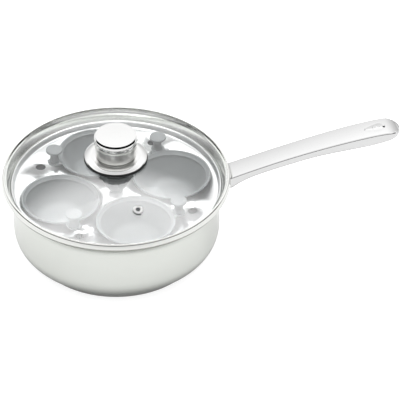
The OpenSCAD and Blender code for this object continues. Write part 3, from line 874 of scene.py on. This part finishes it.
@dataclass
class Tray:
    """The poaching tray and its lifting knob."""

    pan: Pan
    floor_z: float = 66.4
    rim_z: float = 70.8
    sheet: float = 0.8
    gap: float = 0.3
    fillet: float = 1.6
    bead: float = 0.9
    cup_hole: float = 34.1
    cup_pitch: float = 54.4
    cup_bearing: float = 12.0
    steam_hole: float = 4.75
    steam_pitch: float = 78.4
    knob_radius: float = 15.0
    knob_foot: float = 6.6
    knob_edge: float = 1.2
    knob_disc: float = 4.0
    knob_height: float = 22.0

    def sheet_outline(self) -> list[Point]:
        """Gives the tray's upper face from the edge of the flat floor to the rim.

        Returns:
            The section's points.
        """
        cx, cz = self.pan.flare_centre
        curve = self.pan.flare_radius + self.pan.wall + self.gap + self.sheet
        rim_deg = math.degrees(math.asin((self.rim_z - cz) / (curve - self.sheet / 2)))
        turn = math.degrees(math.asin((self.floor_z + self.fillet - cz) / (curve + self.fillet)))
        fx = cx - (curve + self.fillet) * math.cos(math.radians(turn))
        fillet = arc((fx, self.floor_z + self.fillet), self.fillet, -90, -turn)
        return fillet + self.pan.flare(curve, turn, rim_deg, 10)[1:]

    def sheet_object(self) -> Object:
        """Builds the pressed sheet with its cup holes and its steam holes.

        Returns:
            The new object.
        """
        outline = self.sheet_outline()
        bm = bmesh.new()
        loops = bmesh.ops.create_circle(bm, segments=SPIN_STEPS, radius=outline[0][0] * MM)["verts"]
        for quarter in range(4):
            bearing = self.cup_bearing + 90 * quarter
            for pitch, radius, turn, steps in ((self.cup_pitch, self.cup_hole, bearing, 96),
                                               (self.steam_pitch, self.steam_hole, bearing + 45, 48)):
                loops += bmesh.ops.create_circle(bm, segments=steps, radius=radius * MM,
                                                 matrix=swung(turn, pitch))["verts"]
        bmesh.ops.triangle_fill(bm, edges=bm.edges[:], use_beauty=True, use_dissolve=False)
        bmesh.ops.translate(bm, vec=(0, 0, self.floor_z * MM), verts=loops)
        spun(bm, outline, closed=False)
        bmesh.ops.remove_doubles(bm, verts=bm.verts, dist=TINY)
        bmesh.ops.reverse_faces(bm, faces=[f for f in bm.faces if f.normal.z < 0])
        return thickened(to_object(bm, "tray_sheet", PRESSED_CREASE_DEG, recalc=False), self.sheet, -1)

    def rim_object(self) -> Object:
        """Builds the rolled rim of the tray.

        Returns:
            The new object.
        """
        cx, cz = self.pan.flare_centre
        curve = self.pan.flare_radius + self.pan.wall + self.gap
        turn = math.asin((self.rim_z - cz) / (curve + self.sheet / 2))
        out = curve + self.bead
        centre = (cx - out * math.cos(turn), cz + out * math.sin(turn))
        return turned("tray_rim", arc(centre, self.bead, 0, 360, 16)[:-1])

    def knob_outline(self) -> list[Point]:
        """Gives the section of the turned lifting knob.

        Returns:
            The section's points.
        """
        foot, wide, edge = self.floor_z + FIT, self.knob_radius, self.knob_edge
        top = foot + self.knob_height
        flank = eased((self.knob_foot, foot + 0.8), (wide - 0.8, top - self.knob_disc - 0.8), swell, 14, 1)
        return [
            (0, foot), (self.knob_foot - 0.3, foot), (self.knob_foot, foot + 0.3), *flank,
            *arc((wide - edge, top - self.knob_disc + edge), edge, -60, 0, 5),
            *arc((wide - edge, top - edge), edge, 0, 90, 7), (wide - 2.6, top),
            (wide - 3.2, top - 0.3), (wide - 4, top - 0.4), (0, top - 0.4),
        ]

    def build(self, shop: Workshop) -> None:
        """Builds and dresses the tray's pieces.

        Args:
            shop: The workshop that dresses them.
        """
        shop.dress(self.sheet_object(), TRAY_STEEL, "tray", "tray_steel", "poaching_tray")
        shop.dress(self.rim_object(), TRAY_STEEL, "tray", "tray_steel")
        knob = turned("tray_lifting_knob", self.knob_outline(), closed=False, steps=96)
        shop.dress(knob, KNOB_PLASTIC, "tray", "knob_plastic", "tray_knob")
        shop.dress_node("tray_knob_screw", FASTENER)


@dataclass
class Cup:
    """One poaching cup with its ear and mushroom knob."""

    number: int
    tray: Tray
    rim_radius: float = 36.8
    proud: float = 3.6
    depth: float = 26.5
    wall: float = 1.2
    bead: float = 1.2
    floor_radius: float = 15.0
    corner_radius: float = 12.0
    shoulder: float = 1.5
    hole_gap: float = 0.4
    seat_gap: float = 0.15
    neck_drop: float = 1.2
    ear_bearing: float = 88.0
    ear_reach: float = 41.6
    ear_radius: float = 6.2
    ear_sheet: float = 1.2
    ear_lift: float = 1.7
    ear_overlap: float = 1.0
    knob_height: float = 13.4
    knob_radius: float = 7.75
    knob_waist: float = 3.9
    waist_share: float = 0.55
    knob_foot: float = 4.6
    knob_disc: float = 2.2
    knob_edge: float = 0.7

    @property
    def body(self) -> str:
        """The body that the cup rides on."""
        return "cup_" + ("one", "two", "three", "four")[self.number - 1]

    @property
    def place(self) -> Matrix:
        """The move from the pan's axis to the cup's hole."""
        return swung(self.tray.cup_bearing + 90 * (self.number - 1), self.tray.cup_pitch)

    def section(self) -> list[Point]:
        """Gives the section of the cup's pressed sheet, with its rolled rim.

        Returns:
            The section's points.
        """
        floor_z, wall = self.tray.floor_z, self.wall
        body_r = self.tray.cup_hole - self.hole_gap
        collar_r = body_r + self.shoulder
        top, neck_z = floor_z + self.proud, floor_z - self.tray.sheet - self.neck_drop
        bottom, seat_z = top - self.depth, floor_z + self.seat_gap
        corner = (self.floor_radius, bottom + self.corner_radius)
        run, rise = body_r - corner[0], neck_z - corner[1]
        lean = math.degrees(math.atan2(run, rise) - math.asin(self.corner_radius / math.hypot(run, rise)))
        bead = (self.rim_radius - self.bead, top - self.bead)
        return [
            (0, bottom),
            *arc(corner, self.corner_radius, -90, -lean, 14),
            (body_r - 0.05, neck_z), (body_r, neck_z + 0.6), (body_r, seat_z),
            (collar_r - 0.3, seat_z), (collar_r, seat_z + 0.3), (collar_r + 0.2, bead[1] - 1.2),
            *arc(bead, self.bead, -70, 180, 16),
            (collar_r - wall + 0.15, seat_z + wall + 0.9), (collar_r - wall - 0.2, seat_z + wall + 0.25),
            (body_r - wall - 0.1, seat_z + 0.5), (body_r - wall, seat_z - 0.4),
            (body_r - wall, neck_z + 0.4), (body_r - wall - 0.08, neck_z - 0.4),
            *arc(corner, self.corner_radius - wall, -lean, -90, 14),
            (0, bottom + wall),
        ]

    def dish(self) -> Object:
        """Builds the cup with its ear.

        Returns:
            The new object.
        """
        bm = bmesh.new()
        spun(bm, self.section(), closed=False, steps=128)
        ear_z, radius = (self.tray.floor_z + self.ear_lift) * MM, self.ear_radius * MM
        made = bmesh.ops.create_circle(bm, cap_ends=True, segments=48, radius=radius,
                                       matrix=Matrix.Translation((0, 0, ear_z)))["verts"]
        inner = self.tray.cup_hole + self.shoulder - self.ear_overlap
        for vert in made:
            if vert.co.x < -TINY:
                vert.co.x = (inner - self.ear_reach) * MM
                vert.co.y = math.copysign(radius, vert.co.y) if abs(vert.co.y) > TINY else 0.0
        faces = list({f for v in made for f in v.link_faces})
        grown = bmesh.ops.extrude_face_region(bm, geom=faces)["geom"]
        above = [v for v in grown if isinstance(v, BMVert)]
        bmesh.ops.translate(bm, vec=(0, 0, self.ear_sheet * MM), verts=above)
        bmesh.ops.transform(bm, matrix=swung(self.ear_bearing, self.ear_reach),
                            verts=list(set(made + above)))
        bmesh.ops.transform(bm, matrix=self.place, verts=bm.verts)
        return to_object(bm, f"cup_{self.number}_dish")

    def knob_outline(self) -> list[Point]:
        """Gives the section of the mushroom knob.

        Returns:
            The section's points.
        """
        foot = self.tray.floor_z + self.ear_lift + self.ear_sheet + FIT
        top, rim = foot + self.knob_height, self.knob_radius - self.knob_edge
        waist = (self.knob_waist, foot + self.knob_height * self.waist_share)
        return [
            (0, foot), (self.knob_foot, foot),
            *eased((self.knob_foot, foot + 0.8), waist, swell, 8),
            *eased(waist, (rim, top - self.knob_disc), spread, 10, 2),
            *arc((rim, top - self.knob_disc + self.knob_edge), self.knob_edge, -60, 0, 4),
            *arc((rim, top - self.knob_edge), self.knob_edge, 0, 90, 6),
            (rim / 2, top), (0, top),
        ]

    def build(self, shop: Workshop) -> None:
        """Builds and dresses the cup's pieces.

        Args:
            shop: The workshop that dresses them.
        """
        k = self.number
        shop.dress(self.dish(), COATING, self.body, "cup_coating", f"cup_{k}")
        knob = turned(f"cup_{k}_lifting_knob", self.knob_outline(), False, SMALL_SPIN_STEPS,
                      self.place @ swung(self.ear_bearing, self.ear_reach))
        shop.dress(knob, KNOB_PLASTIC, self.body, "knob_plastic", f"cup_knob_{k}")
        shop.dress_node(f"cup_rivet_{k}", FASTENER)


@dataclass
class Lid:
    """The glass dome with its edge band and vent eyelet."""

    seat_z: float = 78.4
    band_radius: float = 107.5
    band_height: float = 5.5
    band_sheet: float = 0.7
    band_taper: float = 1.6
    band_top: float = 3.4
    band_seat: float = 6.0
    band_shoulder: float = 1.5
    glass: float = 3.6
    glass_gap: float = 0.3
    glass_edge: float = 0.5
    dome_rise: float = 22.1
    hole_radius: float = 4.5
    vent_bearing: float = -80.7
    vent_pitch: float = 71.0
    vent_bore: float = 3.3
    eyelet_radius: float = 5.0
    eyelet_bore: float = 2.0
    cutter_depth: float = 20.0

    @property
    def top_z(self) -> float:
        """The height of the band's top."""
        return self.seat_z + self.band_height

    @property
    def edge_z(self) -> float:
        """The height of the glass's flat edge."""
        return self.top_z - self.band_sheet - 0.2

    @property
    def dome_edge(self) -> float:
        """The radius at which the dome meets the band."""
        return self.band_radius - self.band_top

    @property
    def dome_radius(self) -> float:
        """The radius of the sphere that the dome is part of."""
        return (self.dome_edge ** 2 + self.dome_rise ** 2) / (2 * self.dome_rise)

    @property
    def apex_z(self) -> float:
        """The height of the dome's top."""
        return self.edge_z + self.dome_rise

    def dome(self, radius: float, offset: float = 0.0) -> float:
        """Gives the height of the dome at a radius, raised along its normal by an offset."""
        centre = self.apex_z - self.dome_radius
        return centre + math.sqrt((self.dome_radius + offset) ** 2 - radius ** 2)

    def dome_line(self, start: float, end: float, offset: float, steps: int) -> list[Point]:
        """Gives points along the dome between two radii."""
        radii = [start + (end - start) * i / steps for i in range(steps + 1)]
        return [(r, self.dome(r, offset)) for r in radii]

    @property
    def vent_place(self) -> Matrix:
        """The move from the pan's axis to the vent, with +Z along the dome's normal.

        Returns:
            The matrix of the move.
        """
        lift = Matrix.Translation((0, 0, self.dome(self.vent_pitch) * MM))
        tilt = Matrix.Rotation(math.asin(self.vent_pitch / self.dome_radius), 4, "Y")
        return swung(self.vent_bearing, self.vent_pitch) @ lift @ tilt

    def glass_object(self) -> Object:
        """Builds the dome with the holes for the knob and the vent.

        Returns:
            The new object.
        """
        low, high, bevel = self.edge_z - self.glass, self.edge_z, self.glass_edge
        inner_r = math.sqrt((self.dome_radius - self.glass) ** 2
                            - (low - self.apex_z + self.dome_radius) ** 2)
        edge = self.band_radius - self.band_taper - self.band_sheet - self.glass_gap
        obj = turned("glass_dome", [
            *self.dome_line(self.hole_radius, self.dome_edge, 0, 40),
            (edge - bevel, high), (edge, high - bevel), (edge, low + bevel), (edge - bevel, low),
            *self.dome_line(inner_r, self.hole_radius, -self.glass, 40),
        ])
        bore = bmesh.new()
        radius = self.vent_bore * MM
        bmesh.ops.create_cone(bore, cap_ends=True, segments=48, radius1=radius, radius2=radius,
                              depth=self.cutter_depth * MM, matrix=self.vent_place)
        cut(obj, bore)
        return obj

    def band_outline(self) -> list[Point]:
        """Gives the section of the rolled edge band.

        Returns:
            The section's points.
        """
        sheet, seat, top, wide = self.band_sheet, self.seat_z, self.top_z, self.band_radius
        inner, shoulder, edge = wide - self.band_seat, wide - self.band_taper, self.dome_edge
        return rounded([
            (inner, seat, 0.2), (wide, seat, 0.35), (wide - 0.3, seat + sheet, 0.3),
            (shoulder, top, self.band_shoulder), (edge, top, 0.25), (edge, top - sheet + 0.1, 0.15),
            (shoulder - sheet, top - sheet + 0.1, 0.3), (wide - 0.5 - sheet, seat + sheet, 0.3),
            (inner, seat + sheet, 0.2),
        ])

    def eyelet_outline(self) -> list[Point]:
        """Gives the section of the vent eyelet."""
        low, flange, bore = -self.glass - FIT, self.eyelet_radius, self.vent_bore - FIT
        return rounded([
            (self.eyelet_bore, low - 0.8, 0.35), (flange - 0.6, low - 0.8, 0.35),
            (flange - 0.6, low, 0.1), (bore, low, 0), (bore, FIT, 0), (flange, 0.12, 0.1),
            (flange, 1.2, 0.9), (flange - 1.6, 1.7, 0.8), (self.eyelet_bore, 1.2, 0.5),
        ])

    def build(self, shop: Workshop) -> None:
        """Builds and dresses the lid's pieces, apart from its knob.

        Args:
            shop: The workshop that dresses them.
        """
        shop.dress(self.glass_object(), GLASS, "lid", "glass", "lid_glass")
        shop.dress(turned("edge_band", self.band_outline()), BAND_STEEL, "lid", "band_steel", "lid_band")
        eyelet = turned("steam_eyelet", self.eyelet_outline(), True, SMALL_SPIN_STEPS, self.vent_place)
        shop.dress(eyelet, CHROME, "lid", "fastener_steel", "vent_eyelet")


@dataclass
class LidKnob:
    """The chrome knob on the lid and what holds it."""

    lid: Lid
    flange_radius: float = 29.3
    flange_bore: float = 2.8
    flange_sheet: float = 1.0
    gasket: float = 2.4
    gasket_bore: float = 4.5
    neck_radius: float = 20.0
    neck_height: float = 15.0
    neck_waist: float = 0.8
    cap_radius: float = 20.7
    cap_height: float = 6.8
    cap_edge: float = 0.9
    cap_crown: float = 0.15

    @property
    def neck_z(self) -> float:
        """The height of the neck's foot."""
        return self.lid.apex_z + self.gasket + self.flange_sheet + 3 * FIT

    @property
    def cap_z(self) -> float:
        """The height of the cap's underside."""
        return self.neck_z + self.neck_height + FIT

    def gasket_outline(self) -> list[Point]:
        """Gives the section of the soft gasket, which follows the dome."""
        wide, top, dome = self.flange_radius + 0.5, FIT + self.gasket, self.lid.dome
        return [
            *self.lid.dome_line(self.gasket_bore, wide - 0.5, FIT, 12),
            (wide - 0.1, dome(wide, FIT + 0.2)), (wide, dome(wide, FIT + 0.7)),
            (wide, dome(wide, top - 0.7)), (wide - 0.15, dome(wide, top - 0.2)),
            *self.lid.dome_line(wide - 0.6, self.gasket_bore, top, 12),
        ]

    def flange_outline(self) -> list[Point]:
        """Gives the section of the chrome flange.

        Returns:
            The section's points.
        """
        low, edge, dome = 2 * FIT + self.gasket, self.flange_radius, self.lid.dome
        top, neck = low + self.flange_sheet, self.neck_radius
        return [
            *self.lid.dome_line(self.flange_bore, edge - 0.3, low, 12),
            (edge, dome(edge, low + 0.4)), (edge - 0.1, dome(edge, top - 0.2)),
            (edge - 0.5, dome(edge, top + 0.1)), (edge - 1.2, dome(edge, top + 0.35)),
            *((edge - r, dome(edge - r, top + z)) for r, z in ((2.4, 0.55), (4.2, 0.8), (6.2, 0.85))),
            (neck + 1, dome(neck + 1, top + 0.3)), (neck - 1, self.neck_z - FIT),
            (self.flange_bore, self.neck_z - FIT),
        ]

    def neck_outline(self) -> list[Point]:
        """Gives the section of the chrome neck."""
        foot, top, wide = self.neck_z, self.neck_z + self.neck_height, self.neck_radius
        return [
            (0, foot), (wide - 2.2, foot), *arc((wide - 2.6, foot + 1.7), 1.8, -75, -10),
            *eased((wide - self.neck_waist, foot + 2), (wide, top - 2), lambda share: share ** 2, 12),
            (wide - 0.1, top - 1.5), (wide - 0.5, top - 1.1), (wide - 1.3, top - 0.9),
            (wide - 1.4, top), (0, top),
        ]

    def cap_outline(self) -> list[Point]:
        """Gives the section of the chrome cap, chamfered and then lightly crowned.

        Returns:
            The section's points.
        """
        foot, top, wide, edge = self.cap_z, self.cap_z + self.cap_height, self.cap_radius, self.cap_edge
        chamfer = rounded([(wide, foot + 2, 0), (wide - 0.7, top - 1.75, 0.3), (wide - 1.7, top, 0.2),
                           (wide - 3.5, top, 0)])[1:-1]
        crown = [((wide - 3) * r, top + self.cap_crown * (1 - r * r)) for r in (1, 0.66, 0.33, 0)]
        return [(0, foot), *arc((wide - edge, foot + edge), edge, -90, -10), *chamfer, *crown]

    def build(self, shop: Workshop) -> None:
        """Builds and dresses the knob's pieces."""
        for name, outline, closed, finish, slot, node in (
            ("soft_gasket", self.gasket_outline(), True, SILICONE, "soft_black", "knob_gasket"),
            ("chrome_flange", self.flange_outline(), True, CHROME, "knob_chrome", "knob_flange"),
            ("chrome_neck", self.neck_outline(), False, NECK_CHROME, "knob_chrome", "knob_neck"),
            ("chrome_cap", self.cap_outline(), False, CHROME, "knob_chrome", "knob_cap"),
        ):
            shop.dress(turned(name, outline, closed), finish, "lid", slot, node)
        for node, finish in (("knob_insert", BRASS), ("knob_screw", FASTENER),
                             ("soft_washer", SILICONE), ("steel_washer", FASTENER)):
            shop.dress_node(node, finish)


@dataclass
class Studio:
    """The pale floor, the soft lamp, the room and the camera."""

    handle_turn_deg: float = 8.0
    elevation_deg: float = 38.0
    distance: float = 5.0
    target: Triple = (0.0783, 0.0180, 0.040)
    lens: float = 478.4
    sensor: float = 36.0
    clip: tuple[float, float] = (0.05, 50.0)
    floor_size: float = 6.0
    floor_drop: float = 0.0002
    floor_seen: float = 0.85
    floor_mirrored: float = 0.13
    # painted shadow on the floor: inside shade_from of the axis the floor colour is mostly shade_grey,
    # fading to its plain tone at shade_to
    shade: float = 0.2
    shade_grey: float = 0.1
    shade_from: float = 0.074
    shade_to: float = 0.112
    fill: float = 1.05
    fill_grey: float = 0.8
    sky: tuple[Point, ...] = ((0.0, 0.08), (0.10, 1.65), (0.26, 0.75), (0.45, 1.05), (0.55, 1.30),
                              (0.62, 1.45), (0.70, 1.65), (0.95, 1.0))
    glow: float = 8.8
    glow_from: float = 0.66
    glow_full: float = 0.93
    slit_top: Point = (0.58, 0.72)
    slit_side: Point = (0.32, 0.58)
    slit_level: float = 0.01
    lamp_place: Triple = (0.0, 0.1, 1.7)
    lamp_aim: Triple = (0.05, 0.0, 0.06)
    lamp_size: Point = (1.8, 1.4)
    lamp_watts: float = 16.0

    def across(self, x: float, y: float, z: float) -> Vector:
        """Turns a vector of the photograph's axes into the pan's frame."""
        return Matrix.Rotation(-math.radians(self.handle_turn_deg), 3, "Z") @ Vector((x, y, z))

    def place(self, data: ID, spot: Vector, facing: Vector) -> Object:
        """Puts the camera or the lamp in the scene.

        Args:
            data: The camera's or the lamp's data.
            spot: Its place.
            facing: The direction that it looks in.

        Returns:
            The new object.
        """
        obj = bpy.data.objects.new(data.name, data)
        obj.location = spot
        obj.rotation_euler = facing.to_track_quat("-Z", "Y").to_euler()
        bpy.context.scene.collection.objects.link(obj)
        return obj

    def camera(self) -> None:
        """Places the camera at the photograph's viewing angle."""
        data = bpy.data.cameras.new("camera")
        data.lens, data.sensor_width = self.lens, self.sensor
        data.clip_start, data.clip_end = self.clip
        lift = math.radians(self.elevation_deg)
        back = self.across(0, -math.cos(lift), math.sin(lift))
        eye = self.place(data, self.across(*self.target) + back * self.distance, -back)
        bpy.context.scene.camera = eye

    def lamp(self) -> None:
        """Hangs the soft lamp, which polished metal doesn't reflect."""
        data = bpy.data.lights.new("overhead", "AREA")
        data.shape, data.energy = "RECTANGLE", self.lamp_watts
        data.size, data.size_y = self.lamp_size
        spot = self.across(*self.lamp_place)
        self.place(data, spot, Vector(self.lamp_aim) - spot).visible_glossy = False

    def floor(self) -> None:
        """Lays the pale floor, with a painted shadow under the pan, and faint in the metal."""
        bm = bmesh.new()
        bmesh.ops.create_circle(bm, cap_ends=True, segments=96, radius=self.floor_size)
        bmesh.ops.translate(bm, vec=(0, 0, -self.floor_drop), verts=bm.verts)
        obj = to_object(bm, "floor")
        mat, g = new_material("pale_floor")
        where, path = g.add("TexCoord").outputs["Object"], g.add("LightPath").outputs
        tone = g.blend(g.noise(where, 3.0), (0.90, 0.90, 0.90, 1), (0.92, 0.92, 0.92, 1))
        reach = g.add("VectorMath", {0: where}, operation="LENGTH").outputs["Value"]
        # painted shadow: darkens the floor colour towards shade_grey under the pan, whatever the lamp does
        lit = g.span(reach, self.shade_from, self.shade_to, self.shade, 1.0, "SMOOTHSTEP")
        shader = g.add("BsdfPrincipled", {
            "Base Color": g.blend(lit, (*[self.shade_grey] * 3, 1), tone),
            "Roughness": 0.9, "Specular IOR Level": 0.0, "Emission Color": WHITE,
            "Emission Strength": g.maths(
                "ADD", g.maths("MULTIPLY", path["Is Camera Ray"], self.floor_seen),
                g.maths("MULTIPLY", path["Is Glossy Ray"], self.floor_mirrored)),
        })
        g.add("OutputMaterial", {"Surface": shader.outputs[0]})
        obj.data.materials.append(mat)

    def world(self) -> None:
        """Sets the room that the metal and the glass reflect.

        It is bright overhead and at the back, and has a dark slit low on the camera's side. Only
        the glass sees the glow overhead. The camera itself sees plain white.
        """
        world = bpy.data.worlds.new("studio")
        bpy.context.scene.world = world
        world.use_nodes = True
        g = Graph(world.node_tree)
        ray, path = g.add("TexCoord").outputs["Generated"], g.add("LightPath").outputs
        height = g.add("SeparateXYZ", {0: ray}).outputs[2]
        tone = g.add("ValToRGB", {0: height})
        stops = tone.color_ramp.elements
        stops[0].position, stops[1].position = self.sky[0][0], self.sky[-1][0]
        for spot, _ in self.sky[1:-1]:
            stops.new(spot)
        for stop, (_, grey) in zip(stops, self.sky):
            stop.color = (grey, grey, grey, 1)
        mirror = g.maths("MULTIPLY", path["Is Singular Ray"],
                         g.maths("SUBTRACT", 1.0, path["Is Transmission Ray"]))
        glow = g.span(height, self.glow_from, self.glow_full, 0.0, self.glow, "SMOOTHSTEP")
        depth = g.add("VectorMath", {0: ray, 1: self.across(0, 1, 0)}, operation="DOT_PRODUCT")
        lit = g.maths("MAXIMUM", g.span(height, *self.slit_top, self.slit_level, 1.0),
                      g.span(depth.outputs["Value"], *self.slit_side, self.slit_level, 1.0))
        reflected = g.maths("ADD", lit, g.maths("MULTIPLY", glow, mirror))
        shiny = g.maths("MAXIMUM", path["Is Glossy Ray"], path["Is Transmission Ray"])
        seen = g.blend(shiny, (*[self.fill_grey] * 3, 1), tone.outputs[0])
        strength = g.mix(shiny, self.fill, reflected)
        camera = path["Is Camera Ray"]
        back = g.add("Background", {"Color": g.blend(camera, seen, WHITE),
                                    "Strength": g.mix(camera, strength, 1.0)})
        g.add("OutputWorld", {"Surface": back.outputs[0]})

    def build(self) -> None:
        """Builds the studio."""
        self.camera()
        self.floor()
        self.world()
        self.lamp()
        bpy.context.scene.view_settings.view_transform = "Standard"


def main() -> None:
    """Builds the studio and every piece of the pan."""
    logging.basicConfig(level=logging.INFO, format="%(name)s %(message)s")
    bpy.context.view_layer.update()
    Studio().build()
    shop = Workshop(Effects().build())
    pan = Pan()
    tray = Tray(pan)
    lid = Lid()
    pan.build(shop)
    Handle(pan).build(shop)
    tray.build(shop)
    for number in range(1, 5):
        Cup(number, tray).build(shop)
    lid.build(shop)
    LidKnob(lid).build(shop)
    log.info("pieces built: %d", shop.count)


if __name__ == "__main__":
    main()
